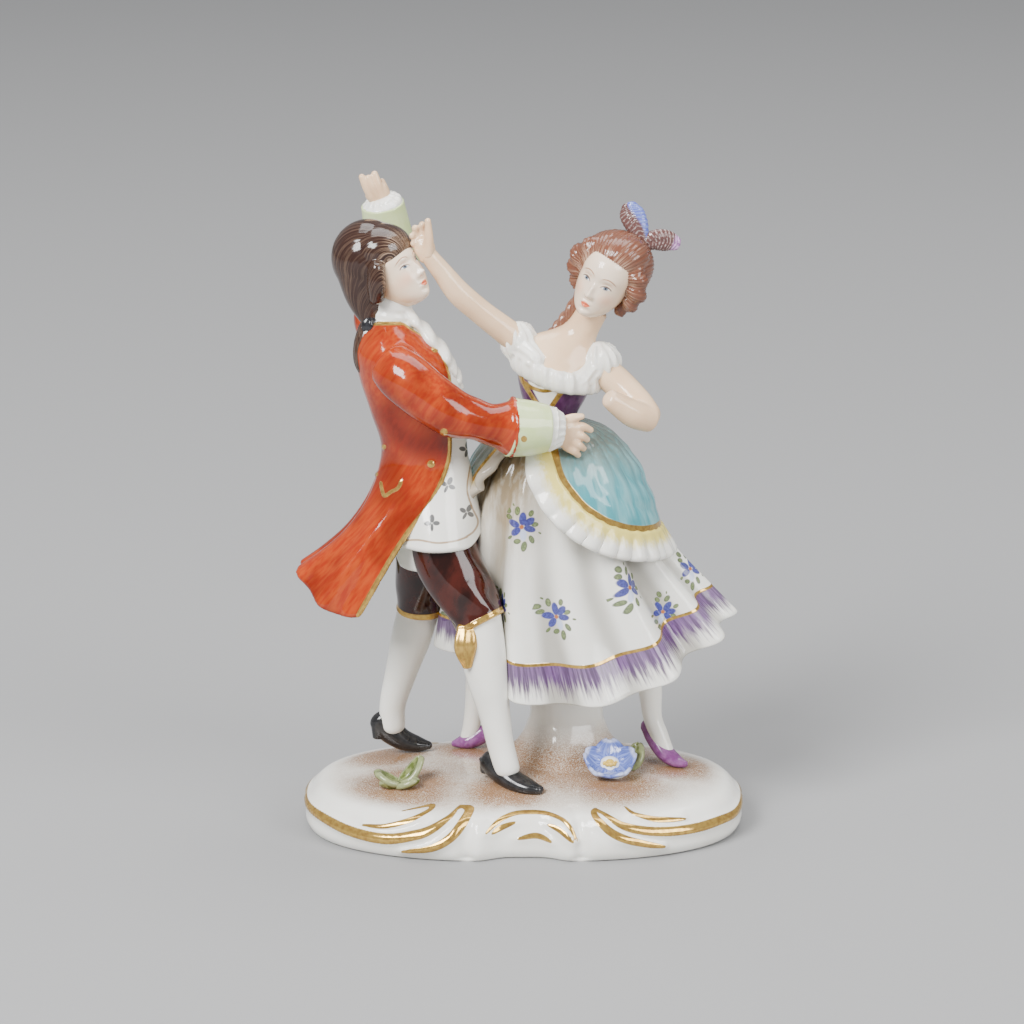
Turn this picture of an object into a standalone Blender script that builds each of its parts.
"""Porcelain dancing couple on a rocaille plinth, one fused casting.

A gentleman in a frock coat steps towards a lady in a panniered gown and holds her waist.
X runs to the right along the plinth, Y to its back and Z up. The origin is the centre of
the plinth's underside. Sizes below are millimetres.
"""

import math

import bpy
import numpy as np
from mathutils import Matrix

# Plinth: an oval with two scrolled lobes and a hollow between them, front and back
PLINTH_LENGTH = 104.0
PLINTH_WIDTH = 66.0
PLINTH_HEIGHT = 11.5
PLINTH_CROWN = 2.0  # how far the ground rises in the middle
PLINTH_HOLLOW = 3.4  # how far the middle of each long side is set back
PLINTH_ROUNDING = 0.82  # power of the oval's sine and cosine: under 1 fills out its corners
PLINTH_SHARE = PLINTH_LENGTH / 104.0  # the scrolls and the bulge of the side follow the length
SCROLL_RELIEF = 1.1
SCROLL_HALF_WIDTH = 1.5

# Couple: every landmark below is a share of the gentleman's height, sole to crown
FIGURE_HEIGHT = 134.0
SHARE = FIGURE_HEIGHT / 134.0

# Post that carries the skirt, turned like a small tree stump
POST_RADIUS = 8.6
POST_FOOT_RADIUS = 17.5

# Walls and clay
CLOTH_WALL = 2.0  # coat tails, waistcoat skirt and overskirt
CLAY_VOXEL = 0.62
CLAY_TRIANGLES = 9600

MM = 0.001
MATERIAL_COLOUR = (0.86, 0.85, 0.81, 1.0)
AROUND = 40  # points round a body or a garment
AROUND_LIMB = 20


def figure(x, y, z):
    """A landmark of the couple, measured from the middle of the plinth's top."""
    return np.array([x * SHARE, y * SHARE, PLINTH_HEIGHT + z * SHARE])


def smooth_curve(points, count, closed=False):
    """Points along a Catmull-Rom spline through the ones given."""
    p = np.asarray(points, float).reshape(len(points), -1)
    if closed:
        p = np.vstack([p[-1:], p, p[:2]])
    else:
        p = np.vstack([2 * p[0] - p[1], p, 2 * p[-1] - p[-2]])
    spans = len(p) - 3
    s = np.linspace(0, spans, count, endpoint=not closed)
    i = np.minimum(s.astype(int), spans - 1)
    t = (s - i)[:, None]
    a, b, c, d = p[i], p[i + 1], p[i + 2], p[i + 3]
    return 0.5 * (2 * b + (c - a) * t + (2 * a - 5 * b + 4 * c - d) * t**2 + (3 * b - a - 3 * c + d) * t**3)


def smooth_values(values, count):
    return smooth_curve(values, count)[:, 0]


def unit(v):
    v = np.asarray(v, float)
    return v / np.maximum(np.linalg.norm(v, axis=-1, keepdims=True), 1e-9)


def mesh_object(name, points, faces):
    mesh = bpy.data.meshes.new(name)
    mesh.from_pydata((np.asarray(points) * MM).tolist(), [], faces)
    mesh.update()
    obj = bpy.data.objects.new(name, mesh)
    clay_collection.objects.link(obj)
    return obj


def loft(name, rows):
    """A closed body through rings of points, with a fan over each end."""
    rows = np.asarray(rows, float)
    count, around = rows.shape[:2]
    points = np.vstack([rows.reshape(-1, 3), rows[0].mean(0), rows[-1].mean(0)])
    start, end = count * around, count * around + 1
    faces = []
    for i in range(count - 1):
        for j in range(around):
            k = (j + 1) % around
            faces.append((i * around + j, i * around + k, (i + 1) * around + k, (i + 1) * around + j))
    last = (count - 1) * around
    for j in range(around):
        k = (j + 1) % around
        faces.append((start, k, j))
        faces.append((end, last + j, last + k))
    return mesh_object(name, points, faces)


def sheet(name, grid, wall, offset=-1.0):
    """A cloth of even thickness on an open grid of points."""
    grid = np.asarray(grid, float)
    rows, columns = grid.shape[:2]
    faces = []
    for i in range(rows - 1):
        for j in range(columns - 1):
            a = i * columns + j
            faces.append((a, a + 1, a + columns + 1, a + columns))
    obj = mesh_object(name, grid.reshape(-1, 3), faces)
    wall_modifier = obj.modifiers.new("Wall", "SOLIDIFY")
    wall_modifier.thickness = wall * MM
    wall_modifier.offset = offset
    return obj


def limb(name, path, across, through, side, around=AROUND_LIMB, along=18, dome=0.9):
    """A tube of oval section along a smooth path, with domed ends.

    across and through are its half widths at the points of the path, along side and
    square to it.
    """
    centre = smooth_curve(path, along)
    wide = smooth_values(across, along)
    deep = smooth_values(through, along)
    tangent = unit(np.gradient(centre, axis=0))
    cap = np.radians([84, 62, 38, 18])
    for end in (0, -1):
        reach = dome * min(wide[end], deep[end])
        way = tangent[end] * (1 if end else -1)
        extra = centre[end] + way * reach * np.sin(cap)[:, None]
        shrink = np.cos(cap)
        if end:
            extra, shrink = extra[::-1], shrink[::-1]
            centre = np.vstack([centre, extra])
            wide, deep = np.append(wide, wide[-1] * shrink), np.append(deep, deep[-1] * shrink)
            tangent = np.vstack([tangent, np.repeat(tangent[-1:], len(cap), 0)])
        else:
            centre = np.vstack([extra, centre])
            wide, deep = np.append(wide[0] * shrink, wide), np.append(deep[0] * shrink, deep)
            tangent = np.vstack([np.repeat(tangent[:1], len(cap), 0), tangent])
    first = unit(side - tangent * (tangent @ np.asarray(side, float))[:, None])
    second = np.cross(tangent, first)
    angle = np.linspace(0, 2 * math.pi, around, endpoint=False)
    rows = (
        centre[:, None]
        + first[:, None] * wide[:, None, None] * np.cos(angle)[None, :, None]
        + second[:, None] * deep[:, None, None] * np.sin(angle)[None, :, None]
    )
    return loft(name, rows)


def figure_limb(name, path, across, through=None, side=(0, 1, 0), **more):
    through = across if through is None else through
    return limb(
        name,
        [figure(*p) for p in path],
        np.array(across) * SHARE,
        np.array(through) * SHARE,
        side,
        **more,
    )


def stacked(levels, along, angle):
    """Rings for a body from levels (x, y, z, half width, half depth, tilt in degrees)."""
    x, y, z, wide, deep, tilt = smooth_curve(levels, along).T[:, :, None]
    tilt = np.radians(tilt)
    flat = wide * np.cos(angle)
    return np.stack(
        [
            (x + flat * np.cos(tilt)) * SHARE,
            (y + deep * np.sin(angle)) * SHARE,
            PLINTH_HEIGHT + (z - flat * np.sin(tilt)) * SHARE,
        ],
        axis=-1,
    )


def full_turn(count=AROUND):
    return np.linspace(0, 2 * math.pi, count, endpoint=False)


def ball(name, centre, radii):
    bpy.ops.mesh.primitive_uv_sphere_add(segments=24, ring_count=16, radius=1.0)
    obj = bpy.context.object
    obj.name = name
    obj.scale = np.array(radii) * SHARE * MM
    obj.location = figure(*centre) * MM
    bpy.ops.object.transform_apply(location=True, rotation=True, scale=True)
    for collection in list(obj.users_collection):
        collection.objects.unlink(obj)
    clay_collection.objects.link(obj)
    return obj


def hand(name, palm, thickness, fingers, thumb):
    """A palm from the wrist to the knuckles, with fingers and a thumb as tapered tubes.

    palm is (points, half widths, side), each finger a run of points.
    """
    points, wide, side = palm
    deep = [thickness * share for share in (0.95, 1.0, 0.8)]
    made = [figure_limb(name + "_palm", points, wide, deep, side, along=9)]
    for number, path in enumerate(fingers):
        taper = np.linspace(1.0, 0.78, len(path)) * (1.05 - 0.04 * number)
        made.append(figure_limb(f"{name}_finger_{number}", path, taper, side=side, around=10, along=9))
    taper = np.linspace(1.35, 0.72, len(thumb))
    made.append(figure_limb(name + "_thumb", thumb, taper, side=side, around=10, along=9))
    return made


# Plinth


# The rolled scrolls on the plinth's side, as (along the side from its middle, up the side)
SCROLL = [
    (68, 7.0),
    (52, 6.9),
    (40, 6.2),
    (31, 6.6),
    (24, 9.2),
    (19.8, 13.4),
    (18.4, 16.2),
    (16.8, 14.6),
    (16.9, 11.0),
    (19.0, 7.6),
    (24, 5.4),
    (32, 3.6),
]
SCROLL_SPRIG = [(28, 15.4), (30, 12.0), (36, 9.8), (42, 9.3)]
SHELL_ARCH = [(-11.5, 7.0), (-7.4, 10.4), (-2.0, 12.7), (3.6, 12.7), (8.6, 10.6), (11.8, 7.0)]
SHELL_RIB = [(-2.4, 5.8), (2.4, 6.4), (6.4, 5.2)]
VALLEY_AT = 14.2  # the hollow between the shell and a scroll
RELIEF_FADE = 1.5  # the relief dies away over this height at the foot and at the rim
# The side's bulge: height as a share of the plinth's, and how far it is set in
SIDE_LEVELS = [
    (0.0, 1.6),
    (0.05, 0.7),
    (0.2, 0.0),
    (0.42, 0.25),
    (0.62, 1.1),
    (0.78, 2.2),
    (0.9, 4.2),
    (1.0, 8.5),
]


def plinth_outline(angle):
    """Half length and half width of the plinth towards an angle, as a scrolled oval."""
    reach_x = PLINTH_LENGTH / 2 * np.sign(np.cos(angle)) * np.abs(np.cos(angle)) ** PLINTH_ROUNDING
    reach_y = PLINTH_WIDTH / 2 * np.sign(np.sin(angle)) * np.abs(np.sin(angle)) ** PLINTH_ROUNDING
    hollow_half = PLINTH_LENGTH * 0.085
    reach_y = reach_y - np.sign(reach_y) * PLINTH_HOLLOW * np.exp(-((reach_x / hollow_half) ** 4))
    return reach_x, reach_y


def away_from(line, along, up):
    """Distance of points on the plinth's side from a line drawn on it."""
    line = smooth_curve(line, 70)
    return np.sqrt(((along[..., None] - line[:, 0]) ** 2 + (up[..., None] - line[:, 1]) ** 2).min(-1))


def side_relief(along, up):
    """How far the rolled scrolls, the shell and the valleys beside it stand proud."""
    along, up = along / PLINTH_SHARE, up / PLINTH_SHARE
    far = np.abs(along)
    relief = SCROLL_RELIEF * np.exp(-((away_from(SCROLL, far, up) / SCROLL_HALF_WIDTH) ** 2))
    relief += 0.7 * SCROLL_RELIEF * np.exp(-((away_from(SCROLL_SPRIG, far, up) / 1.1) ** 2))
    relief += 0.8 * SCROLL_RELIEF * np.exp(-((away_from(SHELL_ARCH, along, up) / 1.4) ** 2))
    relief += 0.5 * SCROLL_RELIEF * np.exp(-((away_from(SHELL_RIB, along, up) / 1.0) ** 2))
    relief -= 1.2 * SCROLL_RELIEF * np.exp(-(((far - VALLEY_AT) / 1.7) ** 2))
    return relief


def plinth():
    angle = full_turn(300)
    reach_x, reach_y = plinth_outline(angle)
    step = np.hypot(np.diff(reach_x, append=reach_x[0]), np.diff(reach_y, append=reach_y[0]))
    round_edge = np.cumsum(step) - step
    # Measured from the nearer middle of a long side, and signed along X
    from_front = round_edge - np.interp(1.5 * math.pi, angle, round_edge)
    from_back = np.interp(0.5 * math.pi, angle, round_edge) - round_edge
    along = np.where(np.sin(angle) < 0, from_front, from_back)
    past_end = (np.sin(angle) >= 0) & (np.abs(along) > round_edge.max() / 2)
    along = np.where(past_end, round_edge.max() / 4, along)
    profile = smooth_curve(SIDE_LEVELS, 30) * [1, PLINTH_SHARE]
    step = np.hypot(np.diff(profile[:, 0]) * PLINTH_HEIGHT, np.diff(profile[:, 1]))
    up_side = np.concatenate([[0], np.cumsum(step)])
    rows = []
    for (height, inset), up in zip(profile, up_side):
        fade = min(1, up / RELIEF_FADE) * min(1, (up_side[-1] - up) / RELIEF_FADE)
        inset = inset - side_relief(along, np.full_like(along, up)) * fade
        share_x = 1 - inset / (PLINTH_LENGTH / 2)
        share_y = 1 - inset / (PLINTH_WIDTH / 2)
        level = np.full_like(angle, height * PLINTH_HEIGHT)
        rows.append(np.stack([reach_x * share_x, reach_y * share_y, level], -1))
    rows[0][:, 2] = 0.0
    rim = rows[-1]
    for share in (0.8, 0.55, 0.3, 0.1):
        ring = rim * [share, share, 1]
        ring[:, 2] = PLINTH_HEIGHT + PLINTH_CROWN * (1 - share**2)
        rows.append(ring)
    return [loft("plinth", rows)]


def post():
    """The turned post under the skirt, a profile swept by a Screw modifier."""
    foot = PLINTH_HEIGHT * 0.6
    top = PLINTH_HEIGHT + 34 * SHARE
    profile = [
        (0.0, top),
        (POST_RADIUS, top),
        (POST_RADIUS, PLINTH_HEIGHT + 14 * SHARE),
        (POST_RADIUS + 1.0, PLINTH_HEIGHT + 9 * SHARE),
        (POST_RADIUS + 3.0, PLINTH_HEIGHT + 5.5 * SHARE),
        (POST_FOOT_RADIUS - 1.5, PLINTH_HEIGHT + PLINTH_CROWN),
        (POST_FOOT_RADIUS, foot),
        (0.0, foot),
    ]
    mesh = bpy.data.meshes.new("post")
    edges = [(i, i + 1) for i in range(len(profile) - 1)]
    mesh.from_pydata([(x * MM, 0, z * MM) for x, z in profile], edges, [])
    obj = bpy.data.objects.new("post", mesh)
    clay_collection.objects.link(obj)
    obj.location = (10.0 * SHARE * MM, 11.0 * SHARE * MM, 0)
    screw = obj.modifiers.new("Turn", "SCREW")
    screw.steps = screw.render_steps = 48
    screw.use_merge_vertices = True
    screw.merge_threshold = 0.01 * MM
    return [obj]


def ground_flower():
    """The blue flower and the leaves that lie on the ground."""
    heart = np.array([20.4, -5.0, 2.2])
    made = [figure_limb("flower_cup", [heart, heart + [0, 0, 2.0]], [3.2, 2.4], along=5)]
    for petal in range(5):
        turn = math.radians(90 + 72 * petal)
        out = np.array([math.cos(turn), math.sin(turn), 0.0])
        path = [heart + [0, 0, 1.6], heart + out * 3.2 + [0, 0, 2.6], heart + out * 5.0 + [0, 0, 5.0]]
        across = np.cross(out, (0, 0, 1))
        made.append(figure_limb(f"petal_{petal}", path, [1.8, 3.1, 2.0], [1.2, 0.95, 0.8], across, along=9))
    leaf_shapes = [
        ((25.0, 0.5, 2.0), (27.0, 1.5, 6.0), 2.2),
        ((-30.0, -11.0, 1.2), (-34.0, -12.0, 4.4), 2.6),
        ((-29.0, -12.0, 1.2), (-25.0, -9.5, 6.2), 1.5),
        ((-29.5, -13.0, 1.0), (-25.5, -14.5, 3.2), 1.8),
    ]
    for number, (root, tip, wide) in enumerate(leaf_shapes):
        root, tip = np.array(root), np.array(tip)
        middle = (root + tip) / 2 + [0, 0, 0.6]
        made.append(
            figure_limb(
                f"leaf_{number}",
                [root, middle, tip],
                [wide * 0.7, wide, wide * 0.6],
                [1.2, 1.1, 0.8],
                np.cross(tip - root, (0, -1, 1)),
                along=8,
            )
        )
    return made


# Gentleman


def man_legs():
    made = [
        figure_limb(
            "near_breeches",
            [(-20.5, -3.2, 62), (-17.5, -6.2, 53.5), (-13.2, -9.4, 46.5), (-10.0, -11.2, 40.8)],
            [8.2, 7.7, 6.8, 5.7],
        ),
        figure_limb(
            "far_breeches",
            [(-23.0, 4.0, 60), (-23.4, 6.0, 51), (-24.2, 8.5, 43.5), (-24.4, 9.8, 38.4)],
            [8.0, 7.0, 6.2, 5.7],
        ),
        figure_limb(
            "near_stocking",
            [
                (-10.2, -11.2, 42),
                (-9.7, -11.3, 34.5),
                (-8.4, -11.5, 26.5),
                (-6.9, -11.7, 18.5),
                (-5.6, -12.0, 11.5),
                (-4.0, -13.0, 5.5),
            ],
            [4.9, 5.4, 4.8, 3.7, 3.2, 3.0],
        ),
        figure_limb(
            "far_stocking",
            [
                (-24.4, 10.0, 40),
                (-26.6, 11.0, 31.5),
                (-29.2, 12.2, 22.0),
                (-31.4, 13.0, 13.5),
                (-31.6, 13.4, 8.0),
            ],
            [4.9, 4.9, 3.9, 3.2, 3.1],
        ),
        figure_limb(
            "near_shoe",
            [(-8.2, -9.6, 6.2), (-6.2, -11.2, 4.8), (-2.6, -13.8, 2.7), (0.8, -16.2, 1.9), (3.2, -17.8, 1.8)],
            [2.2, 2.7, 3.0, 2.7, 1.5],
            [2.9, 3.0, 2.5, 2.0, 1.3],
            side=(0.6, 0.8, 0),
        ),
        figure_limb(
            "near_heel",
            [(-8.6, -9.2, 6.5), (-8.7, -9.2, 3.9)],
            [1.9, 1.5],
            along=4,
            dome=0.3,
        ),
        figure_limb(
            "far_shoe",
            [
                (-34.4, 13.4, 9.0),
                (-32.6, 13.7, 6.6),
                (-29.2, 14.0, 3.9),
                (-25.6, 14.2, 2.7),
                (-23.4, 14.3, 2.4),
            ],
            [2.2, 2.6, 3.0, 2.5, 1.4],
            [2.9, 3.2, 2.6, 1.9, 1.2],
            side=(0, 1, 0),
        ),
        figure_limb(
            "far_heel",
            [(-34.8, 13.3, 8.5), (-34.6, 13.3, 5.0)],
            [1.9, 1.5],
            along=4,
            dome=0.3,
        ),
        figure_limb(
            "garter_bow",
            [(-13.2, -15.2, 40.6), (-13.4, -16.0, 36.4), (-13.2, -15.6, 32.6)],
            [1.6, 2.6, 1.3],
            [1.0, 1.5, 0.8],
            side=(1, 0.2, 0),
            along=8,
        ),
    ]
    return made


def man_body():
    levels = [
        (-21.8, 0, 52.0, 7.6, 8.6, 0),
        (-21.8, 0, 58.0, 9.6, 9.6, 0),
        (-22.2, 0, 66.0, 10.4, 9.4, 0),
        (-22.2, 0, 74.0, 9.6, 8.4, 0),
        (-22.4, 0, 80.0, 9.2, 8.0, 0),
        (-24.2, 0, 89.0, 10.4, 9.0, 0),
        (-26.2, 0, 97.5, 11.2, 10.6, 0),
        (-29.0, 0, 104.0, 9.6, 11.6, 0),
        (-31.0, 0, 108.0, 6.8, 8.0, 0),
        (-31.4, 0, 111.0, 4.6, 5.0, 0),
        (-31.2, 0.3, 117.0, 4.2, 4.2, 0),
    ]
    made = [loft("man_body", stacked(levels, 34, full_turn()))]
    flare = [
        (-19.6, 0, 78.0, 8.4, 8.8, 0),
        (-19.8, 0, 71.0, 9.0, 11.0, 0),
        (-20.0, 0, 64.0, 9.5, 13.0, 0),
        (-20.4, 0, 58.8, 10.0, 14.2, 0),
    ]
    angle = np.linspace(math.radians(-150), math.radians(150), 40)
    made.append(sheet("waistcoat_skirt", stacked(flare, 12, angle), CLOTH_WALL * SHARE))
    made.append(
        figure_limb(
            "jabot",
            [(-27.4, -1.0, 112.5), (-22.6, -1.4, 107.6), (-17.6, -1.6, 101.0), (-15.6, -1.4, 95.4)],
            [3.0, 4.2, 4.0, 2.2],
            [1.6, 1.9, 1.9, 1.2],
            side=(0, 1, 0),
        )
    )
    return made


def man_coat():
    """The coat, a cloth hung on levels that run from the near front edge round the back.

    Each level: x, half length, half width, front and back height, near and far front
    edge angles and how far the far panel stays forward.
    """
    levels = np.array(
        [
            (-31.2, 5.2, 5.8, 111.4, 110.6, -66, -66, 0),
            (-30.4, 8.0, 9.8, 107.4, 107.6, -52, -52, 0),
            (-28.6, 10.8, 12.8, 102.6, 103.2, -50, -50, 0),
            (-26.0, 12.4, 11.8, 97.0, 97.0, -54, -54, 0),
            (-24.2, 11.6, 10.4, 88.6, 88.6, -58, -58, 0),
            (-22.8, 10.6, 9.4, 79.4, 79.4, -58, -60, 0),
            (-24.6, 11.8, 10.8, 70.0, 69.4, -73, -76, 0),
            (-29.6, 12.8, 12.0, 61.8, 61.4, -80, -84, 1.6),
            (-35.2, 13.6, 13.0, 52.6, 56.0, -81, -90, 2.4),
            (-40.6, 13.8, 13.8, 43.0, 52.2, -81, -96, 2.4),
        ]
    )
    rows = smooth_curve(levels, 44)
    grid = []
    for x, long, wide, front, back, near, far, forward in rows:
        angle = np.radians(np.linspace(near, -360 - far, 56))
        sideways = np.sin(angle)
        height = back + (front - back) * sideways**2
        skirt = np.clip((76 - height) / 30, 0, 1)
        fold = 0.7 * skirt * np.cos(angle * 9)
        vent = 1.6 * skirt * np.exp(-(((angle + math.pi) / 0.1) ** 2))
        grid.append(
            np.stack(
                [
                    (x + (long + fold - vent) * np.cos(angle) + forward * (1 + sideways) / 2) * SHARE,
                    (wide + fold) * sideways * SHARE,
                    PLINTH_HEIGHT + height * SHARE,
                ],
                -1,
            )
        )
    return [sheet("coat", grid, CLOTH_WALL * SHARE)]


def man_arms():
    made = [
        figure_limb(
            "near_sleeve",
            [
                (-31.0, -9.5, 102.5),
                (-26.8, -13.2, 99.4),
                (-18.4, -16.0, 93.4),
                (-9.6, -15.4, 90.0),
                (-2.8, -14.0, 88.4),
            ],
            [5.6, 6.3, 5.7, 4.9, 5.4],
        ),
        figure_limb(
            "near_cuff",
            [(-3.2, -14.0, 88.4), (-0.2, -13.2, 88.0), (5.2, -11.8, 87.6)],
            [7.2, 6.9, 5.4],
            dome=0.15,
            along=10,
        ),
        figure_limb(
            "near_wrist_frill",
            [(5.0, -11.8, 87.6), (8.0, -11.0, 87.0)],
            [5.2, 4.3],
            dome=0.4,
            along=4,
        ),
        figure_limb(
            "far_sleeve",
            [(-32.0, 9.5, 103.0), (-34.4, 15.0, 108.6), (-32.6, 21.0, 114.6), (-31.8, 23.2, 119.0)],
            [5.8, 5.6, 5.2, 5.0],
        ),
        figure_limb(
            "far_cuff",
            [(-30.4, 21.4, 119.4), (-32.2, 19.6, 127.0), (-33.2, 18.2, 132.0)],
            [6.0, 5.3, 4.5],
            dome=0.2,
            along=10,
        ),
        figure_limb(
            "far_wrist_frill",
            [(-33.2, 18.2, 132.0), (-33.6, 17.6, 134.2)],
            [4.2, 3.4],
            dome=0.4,
            along=4,
        ),
    ]
    made += hand(
        "near_hand",
        ([(6.8, -10.8, 86.6), (9.4, -10.6, 86.0), (11.8, -9.8, 85.2)], [2.9, 3.4, 3.5], (0.15, 0, 1)),
        1.7,
        [
            [(10.8, -9.8, 87.7), (13.4, -9.2, 87.4), (15.4, -7.8, 86.2)],
            [(10.8, -10.2, 86.0), (13.2, -10.2, 85.4), (14.6, -8.8, 84.2)],
            [(10.4, -10.6, 84.2), (12.6, -10.8, 83.4), (13.8, -9.6, 82.2)],
            [(9.8, -10.8, 82.8), (11.4, -11.2, 82.0), (12.6, -10.2, 80.8)],
        ],
        [(8.6, -10.4, 88.6), (11.2, -10.2, 89.6), (13.4, -9.6, 89.9)],
    )
    made += hand(
        "far_hand",
        ([(-32.8, 17.6, 133.2), (-34.0, 17.4, 135.2), (-34.8, 17.0, 137.0)], [2.2, 2.7, 2.8], (1, 0.2, 0.35)),
        1.5,
        [
            [(-33.4, 17.0, 136.6), (-34.2, 16.8, 139.4), (-35.0, 17.2, 141.8)],
            [(-34.6, 16.6, 136.6), (-35.6, 16.2, 139.0), (-36.4, 16.6, 141.0)],
            [(-35.8, 16.6, 136.4), (-37.0, 16.4, 138.8), (-38.0, 16.8, 141.2)],
        ],
        [(-32.2, 17.8, 134.6), (-32.6, 18.4, 137.4), (-33.4, 18.8, 139.8)],
    )
    return made


def head(name, centre, turn, shape):
    """A head as a loft of level rings, then turned by yaw, pitch and roll in degrees.

    Before it is turned it looks along -Y. Each ring has a height, the places of the
    face and of the back, and a half width, in shares of the half height of the head.
    """
    height = np.array([-1.0, -0.94, -0.78, -0.55, -0.3, 0.0, 0.3, 0.6, 0.84, 0.96, 1.0])
    face = np.array([-0.42, -0.62, -0.72, -0.76, -0.8, -0.76, -0.78, -0.68, -0.42, -0.16, -0.02])
    back = np.array([-0.1, 0.12, 0.36, 0.6, 0.78, 0.9, 0.92, 0.82, 0.58, 0.3, 0.12])
    wide = np.array([0.08, 0.26, 0.44, 0.56, 0.63, 0.68, 0.7, 0.62, 0.44, 0.22, 0.06])
    table = smooth_curve(np.stack([height, face, back, wide], 1), 26)
    angle = full_turn(32)
    rows = []
    for z, front, rear, half in table:
        middle, deep = (front + rear) / 2, (rear - front) / 2
        ring = np.stack([half * np.cos(angle), middle + deep * np.sin(angle), np.full_like(angle, z)], -1)
        ahead = np.clip(-np.sin(angle), 0, 1)
        side_way = ring[:, 0]
        feature = 0.2 * np.exp(-((z + 0.3) / 0.1) ** 2 - (side_way / 0.1) ** 2)
        feature += 0.1 * np.exp(-((z + 0.12) / 0.17) ** 2 - (side_way / 0.08) ** 2)
        feature += 0.07 * np.exp(-((z + 0.56) / 0.07) ** 2 - (side_way / 0.17) ** 2)
        feature += 0.06 * np.exp(-((z + 0.86) / 0.1) ** 2 - (side_way / 0.16) ** 2)
        feature -= 0.07 * np.exp(-((z + 0.03) / 0.09) ** 2 - ((np.abs(side_way) - 0.26) / 0.13) ** 2)
        ring[:, 1] -= feature * ahead
        rows.append(ring)
    rows = np.array(rows) * shape
    yaw, pitch, roll = np.radians(turn)
    turn_z, turn_x = Matrix.Rotation(yaw, 3, "Z"), Matrix.Rotation(pitch, 3, "X")
    matrix = np.array(Matrix.Rotation(roll, 3, "Y") @ turn_z @ turn_x)
    return loft(name, rows @ matrix.T * SHARE + figure(*centre)), matrix


def man_head():
    face, _ = head("man_head", (-28.6, -0.6, 120.8), (55, -10, 4), 9.4)
    made = [
        face,
        figure_limb("man_neck", [(-31.2, 0, 108), (-30.4, 0, 116)], [4.4, 3.9], along=4),
        ball("man_hair_crown", (-36.0, 2.2, 125.0), (8.8, 8.4, 9.0)),
        ball("man_hair_front", (-32.4, 0.8, 127.8), (7.8, 7.8, 5.8)),
        figure_limb(
            "man_hair_nape",
            [(-37.0, 1.0, 121.0), (-36.4, -0.2, 115.6), (-35.2, -1.6, 110.4)],
            [6.6, 5.0, 2.4],
            [6.4, 4.8, 2.4],
        ),
        ball("queue_ribbon", (-35.4, -2.4, 108.4), (2.8, 3.0, 2.6)),
        figure_limb(
            "queue",
            [(-36.2, -1.8, 109.0), (-37.2, -2.8, 105.2), (-37.4, -3.2, 101.0), (-35.8, -3.2, 97.0)],
            [2.2, 2.2, 1.9, 0.9],
        ),
        figure_limb(
            "man_side_curl",
            [(-30.6, -7.2, 116.4), (-31.4, -7.2, 120.0), (-31.8, -6.9, 123.0)],
            [2.0, 2.4, 2.0],
            [1.5, 1.8, 1.5],
        ),
    ]
    return made


# Lady


def lady_legs():
    return [
        figure_limb(
            "lady_left_leg",
            [
                (27.0, 10.0, 46),
                (29.0, 8.8, 27),
                (30.2, 7.8, 18.5),
                (30.8, 6.8, 12.0),
                (32.4, 5.6, 7.6),
                (34.0, 4.6, 4.0),
            ],
            [4.4, 3.7, 2.9, 2.3, 2.2, 1.9],
        ),
        figure_limb(
            "lady_left_shoe",
            [(29.6, 7.4, 9.6), (31.2, 6.4, 6.9), (33.8, 4.6, 3.7), (36.4, 3.0, 2.0), (38.2, 2.0, 1.7)],
            [1.6, 2.0, 2.4, 2.1, 1.1],
            [1.7, 2.0, 1.9, 1.5, 1.0],
            side=(0.5, 0.8, 0),
        ),
        figure_limb(
            "lady_right_leg",
            [
                (-7.6, 13.0, 46),
                (-9.8, 14.8, 27),
                (-11.2, 15.6, 18.0),
                (-12.0, 16.0, 11.5),
                (-12.6, 16.4, 6.5),
                (-13.4, 16.6, 3.6),
            ],
            [4.4, 3.6, 2.8, 2.2, 2.1, 1.9],
        ),
        figure_limb(
            "lady_right_shoe",
            [(-9.8, 16.4, 4.6), (-11.4, 16.5, 3.6), (-14.0, 16.6, 2.6), (-16.6, 16.6, 2.0)],
            [1.8, 2.3, 2.4, 1.1],
            [2.2, 2.2, 1.9, 0.9],
        ),
    ]


SKIRT_LEVELS = [
    # x, y, half length, half width, how far down the way to the hem
    (6.8, 5.0, 5.6, 5.2, 0.00),
    (7.0, 5.0, 10.4, 9.4, 0.05),
    (7.2, 5.2, 14.6, 13.0, 0.13),
    (7.4, 5.4, 18.2, 15.8, 0.25),
    (7.8, 6.0, 20.8, 17.4, 0.42),
    (9.0, 7.4, 24.4, 19.4, 0.62),
    (11.8, 9.2, 29.4, 22.4, 0.82),
    (15.0, 10.4, 33.8, 25.6, 1.00),
]
WAIST_HEIGHT = 83.5


def hem_height(angle):
    return 29.8 + 3.4 * np.cos(angle) + 3.4 * np.sin(angle) + 4.8 * np.cos(2 * angle)


def skirt_fold(angle, down):
    """The skirt's flutes: how far it stands proud, deeper towards the hem."""
    depth = 1.5 * np.clip(down - 0.12, 0, 1) ** 0.8
    wave = np.cos(13 * angle + 0.8 * np.sin(2 * angle) + 0.7) + 0.5 * np.cos(7 * angle + 1.9 * down)
    return depth * wave


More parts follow.
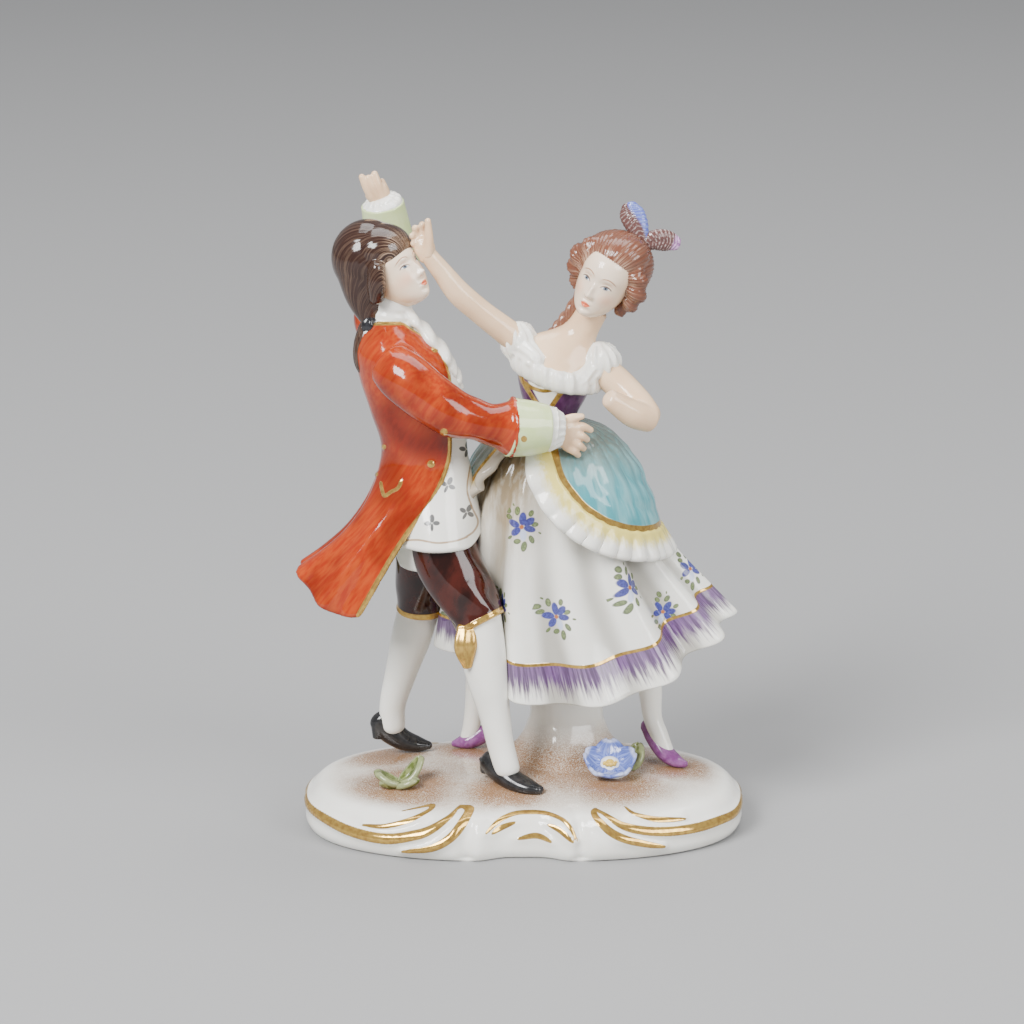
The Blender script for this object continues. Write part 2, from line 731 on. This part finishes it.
def lady_skirt():
    angle = full_turn(150)
    rows = []
    for x, y, long, wide, down in smooth_curve(SKIRT_LEVELS, 46):
        fold = skirt_fold(angle, down)
        height = WAIST_HEIGHT + (hem_height(angle) - WAIST_HEIGHT) * down
        ring_x = (x + (long + fold) * np.cos(angle)) * SHARE
        ring_y = (y + (wide + fold) * np.sin(angle)) * SHARE
        rows.append(np.stack([ring_x, ring_y, PLINTH_HEIGHT + height * SHARE], -1))
    under = rows[-1]
    centre = under.mean(0)
    for share, rise in ((0.95, 0.3), (0.88, 3.0), (0.6, 7.0), (0.25, 9.0)):
        rows.append(centre + (under - centre) * share + [0, 0, rise * SHARE])
    return [loft("skirt", rows)]


PANNIER_LEVELS = [
    # x, y, half length, half width, height
    (6.8, 5.0, 5.8, 5.4, 84.0),
    (7.0, 5.0, 10.2, 9.8, 82.6),
    (7.0, 5.0, 14.4, 13.6, 79.8),
    (7.1, 5.0, 17.8, 16.4, 75.6),
    (7.4, 5.2, 20.0, 18.2, 70.6),
    (7.8, 5.4, 22.0, 19.4, 64.0),
    (8.2, 5.8, 23.8, 20.2, 56.0),
    (8.8, 6.4, 26.4, 21.2, 48.0),
]
OPENING_ANGLE = -118.0  # middle of the overskirt's front opening, in degrees from +X
OPENING_HALF = 19.0
PANNIER_REACH = 20.0  # the overskirt's usual half width, which turns an angle into a length
FRILL_WIDTH = 5.4


def pannier_edge(angle):
    """Height of the overskirt's lower edge, which sweeps up to the waist at the opening."""
    away = np.abs((np.degrees(angle) - OPENING_ANGLE + 180) % 360 - 180)
    return 58.5 + 25.0 * np.exp(-np.maximum(away - OPENING_HALF, 0) / 25.0)


def pannier_point(angle, height, proud=0.0):
    table = smooth_curve(PANNIER_LEVELS, 120)[::-1]
    x, y, long, wide = (np.interp(height, table[:, 4], table[:, k]) for k in range(4))
    return np.stack(
        [
            (x + (long + proud) * np.cos(angle)) * SHARE,
            (y + (wide + proud) * np.sin(angle)) * SHARE,
            PLINTH_HEIGHT + height * SHARE,
        ],
        -1,
    )


def pannier_angles(count):
    start = OPENING_ANGLE + OPENING_HALF + 1
    return np.radians(np.linspace(start, OPENING_ANGLE + 359 - OPENING_HALF, count))


def lady_overskirt():
    angle = pannier_angles(120)
    edge = pannier_edge(angle)
    rows = []
    for down in np.linspace(0, 1, 22):
        height = 84.0 + (edge - 84.0) * down**0.8
        fold = 0.5 * np.sin(np.pi * down) * np.cos(11 * angle)
        rows.append(pannier_point(angle, height, fold))
    made = [sheet("overskirt", rows, CLOTH_WALL * SHARE, offset=-0.6)]
    # The frill follows the edge, a fixed width out along the cloth
    slope = np.clip(np.gradient(edge) / (np.gradient(angle) * PANNIER_REACH), -3, 3)
    length = np.sqrt(1 + slope**2)
    frill = []
    for out in np.linspace(0, 1, 7):
        wave = 0.7 * out * np.cos(46 * angle)
        shift = FRILL_WIDTH * out / length
        proud = 0.4 + 1.2 * out + wave
        frill.append(pannier_point(angle + slope * shift / PANNIER_REACH, edge - shift, proud))
    made.append(sheet("overskirt_frill", frill, CLOTH_WALL * SHARE, offset=-1.0))
    return made


def lady_body():
    levels = [
        (6.7, 5.0, 79.0, 6.0, 5.4, 0),
        (6.7, 5.0, 83.0, 5.2, 4.8, 0),
        (6.6, 4.8, 87.0, 5.8, 5.0, 2),
        (6.8, 4.4, 91.5, 7.6, 6.2, 6),
        (7.2, 4.0, 96.0, 8.9, 7.2, 11),
        (8.2, 4.3, 100.5, 9.0, 6.2, 15),
        (9.8, 4.8, 103.2, 8.2, 5.0, 18),
        (11.8, 5.2, 105.2, 5.4, 4.2, 22),
        (13.6, 5.2, 107.4, 3.9, 3.8, 26),
        (16.4, 4.2, 112.4, 3.5, 3.6, 28),
    ]
    made = [loft("lady_body", stacked(levels, 34, full_turn()))]
    # The frill round the neckline: a flattened ring with pleats, tilted with the chest
    angle = full_turn(72)
    pleat = 0.5 * np.cos(18 * angle)
    tilt = math.radians(15)
    rows = []
    for turn in full_turn(10):
        out = 1.5 * math.cos(turn) + pleat
        flat = (9.6 + out) * np.cos(angle)
        ring_x = (7.5 + flat * math.cos(tilt)) * SHARE
        ring_y = (4.0 + (7.0 + out) * np.sin(angle)) * SHARE
        ring_z = (97.6 - flat * math.sin(tilt) + 2.6 * math.sin(turn)) * SHARE
        rows.append(np.stack([ring_x, ring_y, PLINTH_HEIGHT + ring_z], -1))
    made.append(ring_body("neck_frill", rows))
    made.append(ball("right_puff", (-1.2, 4.4, 104.6), (4.0, 4.0, 4.4)))
    made.append(ball("left_puff", (18.0, 4.2, 99.4), (4.6, 4.2, 4.4)))
    return made


def ring_body(name, rows):
    """A closed ring whose section turns back on itself, so that it has no ends."""
    rows = np.asarray(rows)
    count, around = rows.shape[:2]
    faces = []
    for i in range(count):
        for j in range(around):
            k, n = (j + 1) % around, (i + 1) % count
            faces.append((i * around + j, i * around + k, n * around + k, n * around + j))
    return mesh_object(name, rows.reshape(-1, 3), faces)


def lady_arms():
    made = [
        figure_limb(
            "lady_right_arm",
            [
                (0.6, 4.2, 103.0),
                (-4.4, 3.6, 107.2),
                (-10.0, 2.0, 112.0),
                (-15.2, 0.4, 117.0),
                (-18.9, -0.6, 122.0),
                (-22.2, -1.4, 126.2),
            ],
            [3.4, 3.2, 2.95, 2.9, 2.4, 2.0],
        ),
        figure_limb(
            "lady_left_upper_arm",
            [(17.6, 4.2, 98.4), (21.8, 2.6, 95.0), (26.4, -0.4, 91.0), (28.8, -2.4, 88.4)],
            [3.6, 3.7, 3.5, 3.2],
        ),
        figure_limb(
            "lady_left_forearm",
            [(29.2, -2.8, 87.6), (25.6, -5.4, 89.4), (21.8, -7.4, 92.2), (19.6, -8.4, 94.0)],
            [3.3, 3.5, 3.0, 2.5],
            dome=0.6,
        ),
    ]
    made += hand(
        "lady_right_hand",
        ([(-22.4, -1.4, 125.8), (-23.0, -1.2, 127.8), (-23.6, -0.8, 129.6)], [2.0, 2.5, 2.2], (1, 0, 0.3)),
        1.6,
        [
            [(-23.2, -0.6, 129.4), (-23.4, -0.2, 131.8), (-23.5, -1.0, 133.4)],
            [(-24.0, -0.6, 129.2), (-24.8, -0.2, 131.2), (-25.2, -1.0, 132.6)],
            [(-24.2, -0.8, 128.4), (-25.3, -0.4, 130.0), (-25.9, -1.2, 130.8)],
            [(-24.0, -1.0, 127.4), (-25.0, -0.8, 128.4), (-25.7, -1.4, 129.0)],
        ],
        [(-22.2, -2.2, 126.6), (-22.0, -2.6, 130.4), (-22.2, -2.6, 134.6)],
    )
    return made


LADY_HEAD_CENTRE = (18.9, 0.6, 120.2)


def lady_head():
    face, matrix = head("lady_head", LADY_HEAD_CENTRE, (-20, 8, 28), 9.2)

    def on_head(*place):
        return tuple(LADY_HEAD_CENTRE + matrix @ np.array(place))

    made = [
        face,
        ball("lady_hair_crown", on_head(-0.2, 3.2, 3.2), (9.0, 8.4, 8.2)),
        ball("lady_hair_top", on_head(0.6, 0.6, 6.4), (6.8, 6.0, 5.0)),
        figure_limb(
            "lady_hair_knot",
            [on_head(0, 6, 2), on_head(0, 9.4, -1.0), on_head(0.5, 8.4, -5.4)],
            [5.4, 4.6, 3.4],
        ),
    ]
    curls = [(5.8, -1.0, 6.0), (7.8, -0.2, 2.4), (7.6, 1.4, -1.6), (6.0, 2.6, -5.4)]
    for side in (-1, 1):
        path = [on_head(side * x, y, z) for x, y, z in curls]
        made.append(figure_limb(f"lady_side_curls_{side + 1}", path, [2.0, 2.2, 2.2, 1.6]))
    made.append(
        figure_limb(
            "feather_up",
            [(27.4, 5.0, 128.4), (26.0, 5.4, 132.4), (24.2, 6.0, 135.8)],
            [1.5, 2.7, 1.6],
            [1.1, 1.4, 1.0],
            side=(1, 0, 0.4),
            along=10,
        )
    )
    made.append(
        figure_limb(
            "feather_out",
            [(27.6, 5.0, 127.2), (31.6, 5.4, 128.2), (35.0, 6.0, 127.2)],
            [1.5, 2.3, 1.5],
            [1.1, 1.4, 1.0],
            side=(0, 0, 1),
            along=10,
        )
    )
    ringlet = [on_head(-5.0, 3.0, -5.0), (9.4, 6.0, 111.0), (5.6, 7.6, 106.4), (1.4, 8.0, 103.6)]
    made.append(figure_limb("ringlet", ringlet, [1.6, 1.7, 1.6, 1.0]))
    return made


def fuse(name, shapes):
    """One casting: the shapes joined, skinned as one clay surface and thinned."""
    depsgraph = bpy.context.evaluated_depsgraph_get()
    points, faces = [], []
    for shape in shapes:
        evaluated = shape.evaluated_get(depsgraph)
        mesh = evaluated.to_mesh()
        start = len(points)
        points += [shape.matrix_world @ v.co for v in mesh.vertices]
        faces += [[start + i for i in polygon.vertices] for polygon in mesh.polygons]
        evaluated.to_mesh_clear()
    mesh = bpy.data.meshes.new(name)
    mesh.from_pydata(points, [], faces)
    obj = bpy.data.objects.new(name, mesh)
    couple_collection.objects.link(obj)
    skin = obj.modifiers.new("Clay", "REMESH")
    skin.mode = "VOXEL"
    skin.voxel_size = CLAY_VOXEL * MM
    relax = obj.modifiers.new("Glaze", "SMOOTH")
    relax.factor = 0.5
    relax.iterations = 2
    bpy.context.view_layer.update()
    dense = obj.evaluated_get(bpy.context.evaluated_depsgraph_get()).to_mesh()
    dense.calc_loop_triangles()
    thin = obj.modifiers.new("Facets", "DECIMATE")
    thin.ratio = min(1.0, CLAY_TRIANGLES / len(dense.loop_triangles))
    return obj


def porcelain():
    material = bpy.data.materials.new("porcelain")
    material.use_nodes = True
    shader = material.node_tree.nodes["Principled BSDF"]
    shader.inputs["Base Color"].default_value = MATERIAL_COLOUR
    shader.inputs["Roughness"].default_value = 0.18
    shader.inputs["Metallic"].default_value = 0.0
    return material


for old in list(bpy.data.objects):
    bpy.data.objects.remove(old)
couple_collection = bpy.data.collections.new("dancing_couple")
clay_collection = bpy.data.collections.new("clay_shapes")
for collection in (couple_collection, clay_collection):
    bpy.context.scene.collection.children.link(collection)

clay = plinth() + post() + ground_flower()
clay += man_legs() + man_body() + man_coat() + man_arms() + man_head()
clay += lady_legs() + lady_skirt() + lady_overskirt() + lady_body() + lady_arms() + lady_head()
bpy.context.view_layer.update()
couple = fuse("dancing_couple", clay)
couple.data.materials.append(porcelain())
for shape in clay:
    bpy.data.objects.remove(shape)
bpy.data.collections.remove(clay_collection)
print("dancing_couple made")
